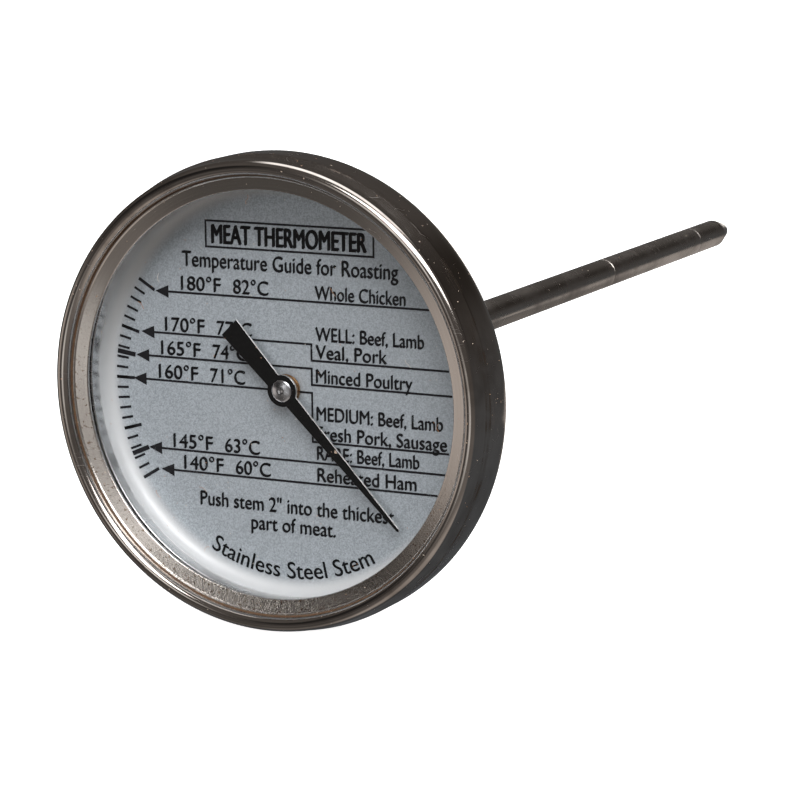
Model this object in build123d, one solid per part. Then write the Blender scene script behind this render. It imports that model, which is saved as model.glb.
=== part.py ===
from build123d import *
import math
import os

# A dial meat thermometer. The dial faces -Y, twelve o'clock is +Z and the stem runs along +Y.
# The origin is on the stem's axis, where the stem leaves the calibration nut.
# Every turned piece is a half section of (radius, y) points revolved about the Y axis.
# Millimetres throughout.

# Stem
STEM_R = 1.803
STEM_BORE_R = 1.42
STEM_SPIGOT_R = 1.62
STEM_FROM_BACK = 124.7
TIP_PLUG_LENGTH = 12.7
TIP_HALF_ANGLE = 13.5
TIP_NOSE_R = 1.1
PLUG_SHANK_LENGTH = 4.0
IMMERSION_MARK_FROM_TIP = 42.8
MARK_DEPTH = 0.07
MARK_WIDTH = 0.22

# Calibration nut, its washer and its retaining ring
NUT_ACROSS_FLATS = 7.94
NUT_THICKNESS = 3.5
NUT_CORNER_CHAMFER = 0.35
NECK_R = 3.0
WASHER_R = 5.4
WASHER_THICKNESS = 0.4
RETAINER_R = 5.0
RETAINER_THICKNESS = 0.4
RUNNING_GAP = 0.05

# Case: a drawn cup with a curled rim and a raised boss in the middle of its back
CASE_R = 24.88
CASE_SHEET = 0.48
BACK_DEPTH = 6.8
BACK_CORNER_R = 2.5
BOSS_R = 8.6
BOSS_RISE = 0.8
BOSS_SLOPE = 1.0
BEAD_R = 0.75
BEAD_CENTRE_R = 23.7
BEAD_DEPTH = -0.85
BEAD_END_DEPTH = -0.54
TAPER_END_DEPTH = 1.2

# Bezel ring, seen as the flange inside the bead
WINDOW_R = 21.28
FLANGE_FOLD_R = 22.62
FLANGE_RISE = 0.37
LIP_RISE = 0.52
LIP_START_R = 22.74
LIP_END_R = 23.05
BEZEL_SHEET = 0.35
SKIRT_R = 24.3
SKIRT_SHEET = 0.4
SKIRT_END_DEPTH = 3.2

# Window stack, front to back
STACK_R = 22.9
GASKET_R = 23.3
GASKET_BORE_R = 21.9
GASKET_THICKNESS = 0.45
LENS_THICKNESS = 1.0
SPACER_BORE_R = 21.65
SPACER_HEIGHT = 1.53

# Dial: a shallow pressed pan
DIAL_DEPTH = 5.13
DIAL_SHEET = 0.3
DIAL_WALL_R = 21.75
DIAL_FILLET = 1.25
DIAL_HOLE_R = 1.2
BACKING_BORE_R = 19.2
BACKING_R = 21.2

# Movement
SPINDLE_R = 0.4
BEARING_GAP = 0.05
UPPER_BEARING_LENGTH = 4.0
GUIDE_LENGTH = 2.0
MIDDLE_GUIDE_Y = 30.0
LOWER_GUIDE_Y = 64.0
COLLAR_R = 0.95
COLLAR_LENGTH = 1.1
COIL_START_Y = 71.0
COIL_TURNS = 22
COIL_PITCH = 1.2
COIL_MEAN_R = 0.96
RIBBON_WIDTH = 0.75
RIBBON_THICKNESS = 0.16
COIL_END_DISC = 1.2

# Pointer, in the plane of its sheet
POINTER_DEPTH = 3.88
POINTER_SHEET = 0.25
POINTER_TIP_R = 19.1
POINTER_TAIL_R = 8.75
POINTER_TAIL_WIDTH = 2.45
POINTER_NECK_WIDTH = 1.6
POINTER_HUB_R = 1.68
POINTER_REST_DEG = -45.7
BUSH_R = 1.6
BUSH_TENON_R = 0.85
CAP_R = 1.15
CAP_HEIGHT = 0.36
CAP_DIMPLE_R = 0.3

# Worked-out positions along Y
BACK_Y = -(NUT_THICKNESS + WASHER_THICKNESS + BOSS_RISE)
FACE_Y = BACK_Y - BACK_DEPTH
TIP_Y = BACK_Y + STEM_FROM_BACK
NOSE_CENTRE_Y = TIP_Y - TIP_NOSE_R
NOSE_EDGE_R = TIP_NOSE_R * math.cos(math.radians(TIP_HALF_ANGLE))
NOSE_EDGE_Y = NOSE_CENTRE_Y + TIP_NOSE_R * math.sin(math.radians(TIP_HALF_ANGLE))
CONE_Y = NOSE_EDGE_Y - (STEM_R - NOSE_EDGE_R) / math.tan(math.radians(TIP_HALF_ANGLE))
SEAM_Y = TIP_Y - TIP_PLUG_LENGTH
MARK_Y = TIP_Y - IMMERSION_MARK_FROM_TIP
BOSS_Y = BACK_Y + BOSS_RISE
BOSS_INSIDE_Y = BOSS_Y - CASE_SHEET
NECK_END_Y = BOSS_INSIDE_Y - 2 * RUNNING_GAP - 2 * RETAINER_THICKNESS
GASKET_Y = FACE_Y + BEZEL_SHEET
LENS_Y = GASKET_Y + GASKET_THICKNESS
SPACER_Y = LENS_Y + LENS_THICKNESS
DIAL_RIM_Y = SPACER_Y + SPACER_HEIGHT
DIAL_Y = FACE_Y + DIAL_DEPTH
POINTER_Y = FACE_Y + POINTER_DEPTH
CAP_Y = POINTER_Y - CAP_HEIGHT
BUSH_END_Y = DIAL_Y - 0.1
COIL_LENGTH = COIL_TURNS * COIL_PITCH
COIL_END_Y = COIL_START_Y + COIL_LENGTH
BEARING_BORE_R = SPINDLE_R + BEARING_GAP


def section(points, rounds=()):
    """A closed half section through (radius, y) points. rounds holds (radius, y, fillet) corners."""
    profile = make_face(Polyline(*points, close=True))
    for corner_r, corner_y, size in rounds:
        corner = profile.vertices().sort_by_distance((corner_r, corner_y, 0))[0]
        profile = fillet(corner, size)
    return profile


def turned(points, rounds=()):
    """A solid of revolution about the Y axis."""
    return revolve(section(points, rounds), Axis.Y)


def tube(inner_r, outer_r, low_y, high_y):
    """A plain ring or bush, from one y to another."""
    return turned([(inner_r, low_y), (outer_r, low_y), (outer_r, high_y), (inner_r, high_y)])


def case_cup():
    """The drawn cup: pierced boss, flat back, rounded corner, tapered mouth and curled rim."""
    inside_r = CASE_R - CASE_SHEET
    hole_r = NECK_R + RUNNING_GAP
    inner_corner = BACK_CORNER_R - CASE_SHEET
    bead_y = FACE_Y + BEAD_DEPTH
    bead_out_r = BEAD_CENTRE_R + BEAD_R
    bead_in_r = bead_out_r - CASE_SHEET
    taper_y = FACE_Y + TAPER_END_DEPTH
    inside_y = BACK_Y - CASE_SHEET
    boss_foot_r = BOSS_R + BOSS_SLOPE
    wall = section(
        [
            (hole_r, BOSS_INSIDE_Y),
            (BOSS_R, BOSS_INSIDE_Y),
            (boss_foot_r, inside_y),
            (inside_r, inside_y),
            (inside_r, taper_y),
            (bead_in_r, bead_y),
            (bead_out_r, bead_y),
            (CASE_R, taper_y),
            (CASE_R, BACK_Y),
            (boss_foot_r, BACK_Y),
            (BOSS_R, BOSS_Y),
            (hole_r, BOSS_Y),
        ],
        [
            (inside_r, inside_y, inner_corner),
            (CASE_R, BACK_Y, BACK_CORNER_R),
            (boss_foot_r, BACK_Y, 0.5),
            (BOSS_R, BOSS_Y, 0.5),
        ],
    )
    curl = Circle(BEAD_R) - Circle(BEAD_R - CASE_SHEET)
    curl &= Pos(0, -BEAD_R) * Rectangle(2 * BEAD_R, 2 * BEAD_R)
    leg_height = BEAD_END_DEPTH - BEAD_DEPTH
    leg_r = BEAD_CENTRE_R - BEAD_R + CASE_SHEET / 2
    leg = Pos(leg_r, bead_y + leg_height / 2) * Rectangle(CASE_SHEET, leg_height)
    return revolve(wall + Pos(BEAD_CENTRE_R, bead_y) * curl + leg, Axis.Y)


def bezel_ring():
    """The flange with a rolled inner edge and a raised outer lip, and its skirt inside the case."""
    lip_y = FACE_Y - LIP_RISE
    back_y = FACE_Y + BEZEL_SHEET
    skirt_in_r = SKIRT_R - SKIRT_SHEET
    skirt_end_y = FACE_Y + SKIRT_END_DEPTH
    bead_in_r = BEAD_CENTRE_R + BEAD_R - CASE_SHEET
    shoulder_r = bead_in_r - RUNNING_GAP
    shoulder_y = FACE_Y - 0.3
    return turned(
        [
            (WINDOW_R, FACE_Y),
            (FLANGE_FOLD_R, FACE_Y - FLANGE_RISE),
            (LIP_START_R, lip_y),
            (LIP_END_R, lip_y),
            (LIP_END_R + 0.2, shoulder_y),
            (shoulder_r, shoulder_y),
            (SKIRT_R, FACE_Y + TAPER_END_DEPTH),
            (SKIRT_R, skirt_end_y),
            (skirt_in_r, skirt_end_y),
            (skirt_in_r - 0.2, back_y),
            (WINDOW_R, back_y),
        ],
        [
            (WINDOW_R, FACE_Y, 0.2),
            (WINDOW_R, back_y, 0.12),
            (LIP_START_R, lip_y, 0.1),
            (LIP_END_R, lip_y, 0.1),
        ],
    )


def lens_gasket():
    """A flat rubber ring between the bezel's flange and the lens."""
    return tube(GASKET_BORE_R, GASKET_R, GASKET_Y, LENS_Y)


def lens():
    """The flat glass, with ground edges."""
    ground = 0.12
    low_y = LENS_Y
    high_y = LENS_Y + LENS_THICKNESS
    return turned(
        [
            (0, low_y),
            (STACK_R - ground, low_y),
            (STACK_R, low_y + ground),
            (STACK_R, high_y - ground),
            (STACK_R - ground, high_y),
            (0, high_y),
        ]
    )


def spacer_ring():
    """The ring that holds the lens off the dial's rim."""
    return turned(
        [
            (SPACER_BORE_R, SPACER_Y),
            (STACK_R, SPACER_Y),
            (STACK_R, DIAL_RIM_Y),
            (SPACER_BORE_R, DIAL_RIM_Y),
        ],
        [(SPACER_BORE_R, SPACER_Y, 0.15), (SPACER_BORE_R, DIAL_RIM_Y, 0.1)],
    )


def dial_plate():
    """The pan: a flat floor with a centre hole, a rounded upturned wall and an outward rim."""
    back_y = DIAL_Y + DIAL_SHEET
    outer_wall_r = DIAL_WALL_R + DIAL_SHEET
    rim_back_y = DIAL_RIM_Y + DIAL_SHEET
    return turned(
        [
            (DIAL_HOLE_R, DIAL_Y),
            (DIAL_WALL_R, DIAL_Y),
            (DIAL_WALL_R, DIAL_RIM_Y),
            (STACK_R, DIAL_RIM_Y),
            (STACK_R, rim_back_y),
            (outer_wall_r, rim_back_y),
            (outer_wall_r, back_y),
            (DIAL_HOLE_R, back_y),
        ],
        [
            (DIAL_WALL_R, DIAL_Y, DIAL_FILLET),
            (outer_wall_r, back_y, DIAL_FILLET + DIAL_SHEET),
            (DIAL_WALL_R, DIAL_RIM_Y, 0.12),
        ],
    )


def dial_backing_ring():
    """The pressed ring that carries the dial off the case's back."""
    return tube(BACKING_BORE_R, BACKING_R - 0.4, DIAL_Y + DIAL_SHEET, BACK_Y - CASE_SHEET)


def calibration_nut():
    """The hexagon with its corners turned off, and the neck that passes through the case's back."""
    corner_r = NUT_ACROSS_FLATS / math.sqrt(3)
    flat_r = NUT_ACROSS_FLATS / 2
    chamfered_y = NUT_CORNER_CHAMFER
    body = turned(
        [
            (STEM_SPIGOT_R, -NUT_THICKNESS),
            (flat_r, -NUT_THICKNESS),
            (corner_r, -NUT_THICKNESS + chamfered_y),
            (corner_r, -chamfered_y),
            (flat_r, 0),
            (STEM_SPIGOT_R, 0),
        ]
    )
    hexagon = Rot(90, 0, 0) * RegularPolygon(corner_r, 6)
    body &= extrude(hexagon, NUT_THICKNESS, both=True)
    neck = tube(STEM_SPIGOT_R, NECK_R, NECK_END_Y, -NUT_THICKNESS)
    return body + neck


def friction_washer():
    """The slightly dished spring washer between the nut and the case's boss."""
    low_y = -NUT_THICKNESS - WASHER_THICKNESS + RUNNING_GAP
    return turned(
        [
            (NECK_R, low_y),
            (WASHER_R, low_y),
            (WASHER_R, -NUT_THICKNESS),
            (NECK_R, -NUT_THICKNESS),
        ],
        [(WASHER_R, low_y, 0.12), (WASHER_R, -NUT_THICKNESS, 0.12)],
    )


def retaining_ring():
    """The push-on ring that keeps the neck in the case."""
    high_y = BOSS_INSIDE_Y - RUNNING_GAP
    return tube(NECK_R, RETAINER_R, high_y - RETAINER_THICKNESS, high_y)


def stem_tube():
    """The stem's tube: a spigot in the nut, a shoulder on its face and the fine immersion mark."""
    half = MARK_WIDTH / 2
    return turned(
        [
            (STEM_BORE_R, NECK_END_Y),
            (STEM_SPIGOT_R, NECK_END_Y),
            (STEM_SPIGOT_R, 0),
            (STEM_R, 0),
            (STEM_R, MARK_Y - half),
            (STEM_R - MARK_DEPTH, MARK_Y),
            (STEM_R, MARK_Y + half),
            (STEM_R, SEAM_Y),
            (STEM_BORE_R, SEAM_Y),
        ]
    )


def tip_plug():
    """The pointed plug: shank pressed into the tube, a hairline shoulder, barrel, cone and round nose."""
    relief = 0.07
    body = turned(
        [
            (0, SEAM_Y - PLUG_SHANK_LENGTH),
            (STEM_BORE_R, SEAM_Y - PLUG_SHANK_LENGTH),
            (STEM_BORE_R, SEAM_Y),
            (STEM_R - relief, SEAM_Y),
            (STEM_R, SEAM_Y + relief),
            (STEM_R, CONE_Y),
            (NOSE_EDGE_R, NOSE_EDGE_Y),
            (0, NOSE_EDGE_Y),
        ]
    )
    return body + Pos(0, NOSE_CENTRE_Y, 0) * Sphere(TIP_NOSE_R)


def guide(low_y, length):
    """A bush in the stem that the spindle turns in."""
    return tube(BEARING_BORE_R, STEM_BORE_R, low_y, low_y + length)


def coil_anchor():
    """The fixed end of the coil: a disc in the tube with a boss inside the last turn."""
    start_y = COIL_END_Y + RIBBON_WIDTH / 2 + 0.05
    disc = tube(0, STEM_BORE_R, start_y, start_y + COIL_END_DISC)
    boss = tube(0, COIL_MEAN_R - RIBBON_THICKNESS / 2, COIL_END_Y - COIL_PITCH, start_y)
    return disc + boss


def coil_carrier():
    """The moving end of the coil: a disc on the spindle with a boss inside the first turn."""
    end_y = COIL_START_Y - RIBBON_WIDTH / 2 - 0.05
    disc = tube(SPINDLE_R, COIL_MEAN_R + 0.2, end_y - COIL_END_DISC, end_y)
    boss_r = COIL_MEAN_R - RIBBON_THICKNESS / 2 - 0.04
    return disc + tube(SPINDLE_R, boss_r, end_y, COIL_START_Y + COIL_PITCH)


def bimetal_coil():
    """The flat two-metal ribbon wound into a helix along the stem."""
    path = Helix(COIL_PITCH, COIL_LENGTH, COIL_MEAN_R)
    ribbon = Plane(path @ 0, z_dir=path % 0, x_dir=(1, 0, 0)) * Rectangle(RIBBON_THICKNESS, RIBBON_WIDTH)
    coil = sweep(ribbon, path=path, is_frenet=True)
    return Pos(0, COIL_START_Y, 0) * Rot(-90, 0, 0) * coil


def spindle():
    """The straight shaft from the coil to the pointer."""
    return tube(0, SPINDLE_R, CAP_Y + 0.12, COIL_START_Y + COIL_PITCH)


def thrust_collar():
    """The collar on the spindle that runs on the upper bearing's face."""
    high_y = NECK_END_Y - RUNNING_GAP
    return tube(SPINDLE_R, COLLAR_R, high_y - COLLAR_LENGTH, high_y)


def pointer_bush():
    """The brass bush: a shoulder behind the pointer and a tenon through it."""
    return turned(
        [
            (SPINDLE_R, POINTER_Y),
            (BUSH_TENON_R, POINTER_Y),
            (BUSH_TENON_R, POINTER_Y + POINTER_SHEET),
            (BUSH_R, POINTER_Y + POINTER_SHEET),
            (BUSH_R, BUSH_END_Y),
            (SPINDLE_R, BUSH_END_Y),
        ]
    )


def pointer():
    """The blanked pointer: a sharp long arm, a hub ring and a flared square-ended tail."""
    neck = POINTER_NECK_WIDTH / 2
    tail = POINTER_TAIL_WIDTH / 2
    arm = [(0, neck), (POINTER_TIP_R, 0), (0, -neck)]
    tail_end = [(-POINTER_TAIL_R, -tail), (-POINTER_TAIL_R, tail)]
    outline = make_face(Polyline(*arm, *tail_end, close=True))
    blank = outline + Circle(POINTER_HUB_R) - Circle(BUSH_TENON_R)
    upright = Plane(origin=(0, POINTER_Y, 0), x_dir=(1, 0, 0), z_dir=(0, -1, 0))
    return extrude(upright * Rot(0, 0, POINTER_REST_DEG) * blank, -POINTER_SHEET)


def pointer_cap():
    """The domed cap on the spindle's end, with a centre dimple."""
    return turned(
        [
            (CAP_DIMPLE_R, CAP_Y),
            (CAP_R, CAP_Y),
            (CAP_R, POINTER_Y),
            (SPINDLE_R, POINTER_Y),
            (SPINDLE_R, CAP_Y + 0.12),
            (CAP_DIMPLE_R, CAP_Y + 0.12),
        ],
        [(CAP_R, CAP_Y, 0.22)],
    )


PARTS = {
    "case_cup": case_cup(),
    "bezel_ring": bezel_ring(),
    "lens_gasket": lens_gasket(),
    "lens": lens(),
    "spacer_ring": spacer_ring(),
    "dial_plate": dial_plate(),
    "dial_backing_ring": dial_backing_ring(),
    "calibration_nut": calibration_nut(),
    "friction_washer": friction_washer(),
    "retaining_ring": retaining_ring(),
    "stem_tube": stem_tube(),
    "tip_plug": tip_plug(),
    "upper_bearing": guide(NECK_END_Y, UPPER_BEARING_LENGTH),
    "middle_guide": guide(MIDDLE_GUIDE_Y, GUIDE_LENGTH),
    "lower_guide": guide(LOWER_GUIDE_Y, GUIDE_LENGTH),
    "coil_anchor": coil_anchor(),
    "bimetal_coil": bimetal_coil(),
    "spindle": spindle(),
    "thrust_collar": thrust_collar(),
    "coil_carrier": coil_carrier(),
    "pointer_bush": pointer_bush(),
    "pointer": pointer(),
    "pointer_cap": pointer_cap(),
}

os.makedirs("parts", exist_ok=True)
for name, shape in PARTS.items():
    shape.label = name
    export_step(shape, f"parts/{name}.step")
print(f"{len(PARTS)} nodes, case back at y {BACK_Y:.2f}, bezel edge at y {FACE_Y:.2f}, tip at y {TIP_Y:.2f}")
print(f"exposed stem of full radius {CONE_Y:.2f} long, coil's fixed end at y {COIL_END_Y:.2f}")
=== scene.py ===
# %% [markdown]
# A dial meat thermometer: a polished steel cup with a glass front, a silvery dial with black print,
# a black pointer, and a long thin stem behind. The working design comes in as a fixed frame of CAD
# nodes. This lesson gives each visible piece a finer surface and every finish its own nodes.

# %% Load the frame
import math

import bmesh
import bpy
import numpy as np
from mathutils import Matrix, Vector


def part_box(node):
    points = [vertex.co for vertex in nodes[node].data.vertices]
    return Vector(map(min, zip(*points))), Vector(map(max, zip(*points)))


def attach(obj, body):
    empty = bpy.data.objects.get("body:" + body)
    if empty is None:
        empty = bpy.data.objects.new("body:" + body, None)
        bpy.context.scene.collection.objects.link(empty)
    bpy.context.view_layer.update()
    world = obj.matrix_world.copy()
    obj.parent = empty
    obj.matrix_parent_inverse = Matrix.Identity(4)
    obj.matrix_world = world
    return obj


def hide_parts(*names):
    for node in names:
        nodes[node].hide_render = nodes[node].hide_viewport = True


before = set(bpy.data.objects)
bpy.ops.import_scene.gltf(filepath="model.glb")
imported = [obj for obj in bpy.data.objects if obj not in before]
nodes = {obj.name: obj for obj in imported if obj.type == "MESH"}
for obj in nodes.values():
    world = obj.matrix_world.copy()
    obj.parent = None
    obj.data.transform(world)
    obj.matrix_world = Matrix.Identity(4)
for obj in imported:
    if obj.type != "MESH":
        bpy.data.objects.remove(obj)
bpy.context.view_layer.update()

# %% [markdown]
# All sizes below are in millimetres, as on a drawing. The whole object is turned about the Y axis, so
# a place on it is a radius and a depth, counted back from the edge of the bezel. The frame says where
# the case starts and ends, and the depths of the other pieces follow from that.

# %% Places taken from the frame
MM = 0.001


def reach(node):
    """The lowest and highest y of a CAD node and its largest radius, in millimetres."""
    low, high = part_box(node)
    return low.y / MM, high.y / MM, high.x / MM


BEAD_FRONT, BOSS_Y, CASE_R = reach("case_cup")
BEAD_STAND = 1.6
EDGE_Y = BEAD_FRONT + BEAD_STAND
LENS_FRONT, LENS_BACK, STACK_R = reach("lens")
SPACER_FRONT, RIM_Y, _ = reach("spacer_ring")
DIAL_Y = EDGE_Y + 5.13
DIAL_SHEET = 0.3
POINTER_Y, POINTER_BACK, _ = reach("pointer")
_, STEM_SEAM_Y, STEM_R = reach("stem_tube")
_, TIP_Y, _ = reach("tip_plug")
print(f"bezel edge at y {EDGE_Y:.2f}, dial at y {DIAL_Y:.2f}, tip at y {TIP_Y:.2f} mm")

# %% [markdown]
# The camera comes first. A long lens from the front right and a little above shows the dial almost
# flat, and the stem as a short slanting line. It is given as a target, a distance and two angles.

# %% Camera
AIM = np.array([15.4, EDGE_Y, 0.9]) * MM
DISTANCE = 318.3 * MM
AZIMUTH, ELEVATION, ROLL = np.radians([26.52, 11.13, -0.58])
SENSOR = 36.0
FOCAL_IN_WIDTHS = 3.972


def in_scene(name, data):
    """A new object for this data, in the scene."""
    thing = bpy.data.objects.new(name, data)
    bpy.context.scene.collection.objects.link(thing)
    return thing


sideways, upright = math.cos(ELEVATION), math.sin(ELEVATION)
to_camera = np.array([math.sin(AZIMUTH) * sideways, -math.cos(AZIMUTH) * sideways, upright])
camera_data = bpy.data.cameras.new("camera")
camera_data.sensor_width = SENSOR
camera_data.lens = SENSOR * FOCAL_IN_WIDTHS
camera_data.clip_start = 0.01
camera = in_scene("camera", camera_data)
camera.location = AIM + DISTANCE * to_camera
camera.rotation_euler = (math.pi / 2 - ELEVATION, 0, AZIMUTH)
camera.rotation_euler.rotate_axis("Z", ROLL)
bpy.context.scene.camera = camera
print(f"lens {camera_data.lens:.0f} mm, {DISTANCE / MM:.0f} mm away")

# %% [markdown]
# Turned and pressed metal is a profile carried round an axis. The profile is a few corner points with
# a radius at each corner, because a real pressed edge is never sharp, and a sharp edge would not
# catch a highlight. The carried surface is a grid: one row for each profile point, one column for
# each angle, worked out as whole arrays.

# %% Helpers: rounded outlines and turned surfaces
AROUND = 360


def rounded(points, radii, step, bend=8):
    """An open outline through corner points, each corner an arc of its own radius.

    An arc starts radius * tan(turn / 2) before its corner, and its points are
    centre + radius * (cos, sin) between the two tangent points. step is the longest straight piece.
    """
    points = [np.array(p, float) for p in points]
    out = [points[0]]
    for before, corner, after, radius in zip(points, points[1:], points[2:], radii):
        into = (corner - before) / np.linalg.norm(corner - before)
        away = (after - corner) / np.linalg.norm(after - corner)
        turn = math.acos(np.clip(into @ away, -1, 1))
        if radius == 0 or turn < 1e-4:
            out.append(corner)
            continue
        back = radius * math.tan(turn / 2)
        side = np.array([-into[1], into[0]])
        if side @ away < 0:
            side = -side
        centre = corner - into * back + side * radius
        sweep = np.linspace(0, turn, bend + 1)[:, None]
        out.extend(centre - side * radius * np.cos(sweep) + into * radius * np.sin(sweep))
    out.append(points[-1])
    line = np.array(out)
    gaps = np.linalg.norm(np.diff(line, axis=0), axis=1)
    counts = np.maximum(1, np.ceil(gaps / step).astype(int))
    pieces = [a + (b - a) * np.arange(n)[:, None] / n for a, b, n in zip(line, line[1:], counts)]
    return np.vstack(pieces + [line[-1:]])


def signed_volume(verts, faces):
    """Six times the volume inside a closed surface: the sum of a . (b x c) over its triangles."""
    total = 0.0
    for k in range(1, faces.shape[1] - 1):
        a, b, c = verts[faces[:, 0]], verts[faces[:, k]], verts[faces[:, k + 1]]
        total += np.einsum("ij,ij->", a, np.cross(b, c))
    return total


def mesh_object(name, verts, *face_sets, smooth=True):
    """A mesh object at the origin from arrays in millimetres, its faces turned to point outwards.

    Where the signed volume is negative the faces point inwards, so all of them are turned round.
    """
    verts = np.asarray(verts, float)
    if sum(signed_volume(verts, faces) for faces in face_sets) < 0:
        face_sets = [faces[:, ::-1] for faces in face_sets]
    every_face = [face for faces in face_sets for face in faces.tolist()]
    mesh = bpy.data.meshes.new(name)
    mesh.from_pydata((verts * MM).tolist(), [], every_face)
    mesh.polygons.foreach_set("use_smooth", np.full(len(mesh.polygons), smooth))
    mesh.set_sharp_from_angle(angle=math.radians(40))
    mesh.update()
    return in_scene(name, mesh)


def turned(name, outline, around=AROUND):
    """The outline carried round the Y axis: (r cos t, y, r sin t).

    The outline is a closed ring section, or it starts and ends on the axis, where its end points
    become one vertex each so that no pole is left open.
    """
    outline = np.asarray(outline, float)
    closed = outline[0, 0] > 1e-6
    rows = outline if closed else outline[1:-1]
    angle = np.linspace(0, 2 * np.pi, around, endpoint=False)
    x, z = rows[:, :1] * np.cos(angle), rows[:, :1] * np.sin(angle)
    y = np.repeat(rows[:, 1:], around, axis=1)
    verts = np.stack([x, y, z], axis=-1).reshape(-1, 3)
    count = len(rows)
    row = np.arange(count if closed else count - 1)[:, None]
    j = np.arange(around)[None, :]
    here, there, after = row * around, (row + 1) % count * around, (j + 1) % around
    corners = [here + j, here + after, there + after, there + j]
    quads = np.stack(corners, axis=-1).reshape(-1, 4)
    if closed:
        return mesh_object(name, verts, quads)
    ring = np.arange(around)
    ahead = np.roll(ring, -1)
    last = (count - 1) * around
    pole = np.full(around, len(verts))
    front = np.stack([ahead, ring, pole], axis=-1)
    back = np.stack([last + ring, last + ahead, pole + 1], axis=-1)
    poles = [[0, outline[0, 1], 0], [0, outline[-1, 1], 0]]
    return mesh_object(name, np.vstack([verts, poles]), quads, front, back)


def place(piece, body, slot, finish, *replaced):
    """Put a finished piece on its body, with its finish, in place of the CAD nodes it stands for."""
    piece.data.materials.clear()
    piece.data.materials.append(finish)
    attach(piece, body)
    if replaced:
        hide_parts(*replaced)
    print(f"{piece.name}: {len(piece.data.polygons)} faces on {body}")
    return piece


print("helpers ready")

# %% [markdown]
# The finishes share a few effects: fine spun lines, scratches, smudges, pitted orange peel and stray
# dust. Each effect is a node group with named sockets, built once, which gives only masks and
# heights. The shader stays in each material, so one effect can be strong on one piece and faint on
# another.

# %% Helpers: short ways to write nodes
def fill(tree, socket, value):
    """Link a socket to another, or give it a plain value. A colour gets its fourth number here."""
    if isinstance(value, bpy.types.NodeSocket):
        tree.links.new(value, socket)
    elif value is not None:
        socket.default_value = (*value, 1) if socket.type == "RGBA" else value


def add(tree, kind, *inputs, **settings):
    """A shader node with its settings, and its inputs in order as links or values."""
    node = tree.nodes.new("ShaderNode" + kind)
    for key, value in settings.items():
        setattr(node, key, value)
    for socket, value in zip(node.inputs, inputs):
        fill(tree, socket, value)
    return node


def calc(tree, operation, *values, clamp=False):
    """One Math node."""
    return add(tree, "Math", *values, operation=operation, use_clamp=clamp).outputs[0]


def times(tree, *values, clamp=False):
    """The product of two values, plus the third where there is one."""
    return calc(tree, "MULTIPLY" if len(values) == 2 else "MULTIPLY_ADD", *values, clamp=clamp)


def noise(tree, place, *settings):
    """The value of a noise: its scale, then its detail and roughness."""
    return add(tree, "TexNoise", place, None, *settings).outputs[0]


def from_axis(tree, place):
    """The distance from the Y axis: sqrt(x^2 + z^2)."""
    x, _, z = add(tree, "SeparateXYZ", place).outputs
    return calc(tree, "SQRT", times(tree, x, x, times(tree, z, z)))


def step_up(tree, value, low, high, to_low=0.0, to_high=1.0):
    """A smooth step: to_low below low, to_high above high."""
    node = add(tree, "MapRange", value, low, high, to_low, to_high, interpolation_type="SMOOTHSTEP")
    return node.outputs[0]


def mix_colour(tree, share, first, second):
    """The first colour, with this share of the second in it."""
    node = tree.nodes.new("ShaderNodeMix")
    node.data_type = "RGBA"
    for socket, value in zip((node.inputs[0], node.inputs[6], node.inputs[7]), (share, first, second)):
        fill(tree, socket, value)
    return node.outputs[2]


def effect(name, inputs, outputs):
    """A node group. inputs maps a name to its value or to None for a vector, outputs maps to a type."""
    tree = bpy.data.node_groups.new(name, "ShaderNodeTree")
    for label, value in inputs.items():
        kind = "NodeSocketVector" if value is None else "NodeSocketFloat"
        socket = tree.interface.new_socket(label, in_out="INPUT", socket_type=kind)
        if value is not None:
            socket.default_value = value
    for label, kind in outputs.items():
        tree.interface.new_socket(label, in_out="OUTPUT", socket_type="NodeSocket" + kind)
    return tree, tree.nodes.new("NodeGroupInput").outputs, tree.nodes.new("NodeGroupOutput").inputs


def use(tree, group, **values):
    """Place a group in a material and return its outputs."""
    node = tree.nodes.new("ShaderNodeGroup")
    node.node_tree = group
    for label, value in values.items():
        fill(tree, node.inputs[label], value)
    return node.outputs


# %% Effect: spun lines
def spun_lines():
    """Fine rings left by a lathe or a polishing wheel: noise that changes quickly with radius and
    depth and hardly at all with the angle round the axis, read as (cos t, sin t, radius) and depth.
    """
    tree, given, out = effect(
        "spun_lines", {"Place": None, "Lines": 6000.0, "Drift": 3.0}, {"Height": "Float"}
    )
    place = add(tree, "SeparateXYZ", given["Place"]).outputs
    radius = calc(tree, "MAXIMUM", from_axis(tree, given["Place"]), 1e-6)
    around_x = times(tree, calc(tree, "DIVIDE", place[0], radius), given["Drift"])
    around_z = times(tree, calc(tree, "DIVIDE", place[2], radius), given["Drift"])
    across = times(tree, radius, given["Lines"])
    vector = add(tree, "CombineXYZ", around_x, around_z, across).outputs[0]
    depth = times(tree, place[1], given["Lines"])
    rings = add(tree, "TexNoise", vector, depth, 1.0, 2.0, 0.6, noise_dimensions="4D")
    tree.links.new(rings.outputs[0], out["Height"])
    return tree


SPUN_LINES = spun_lines()


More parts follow.
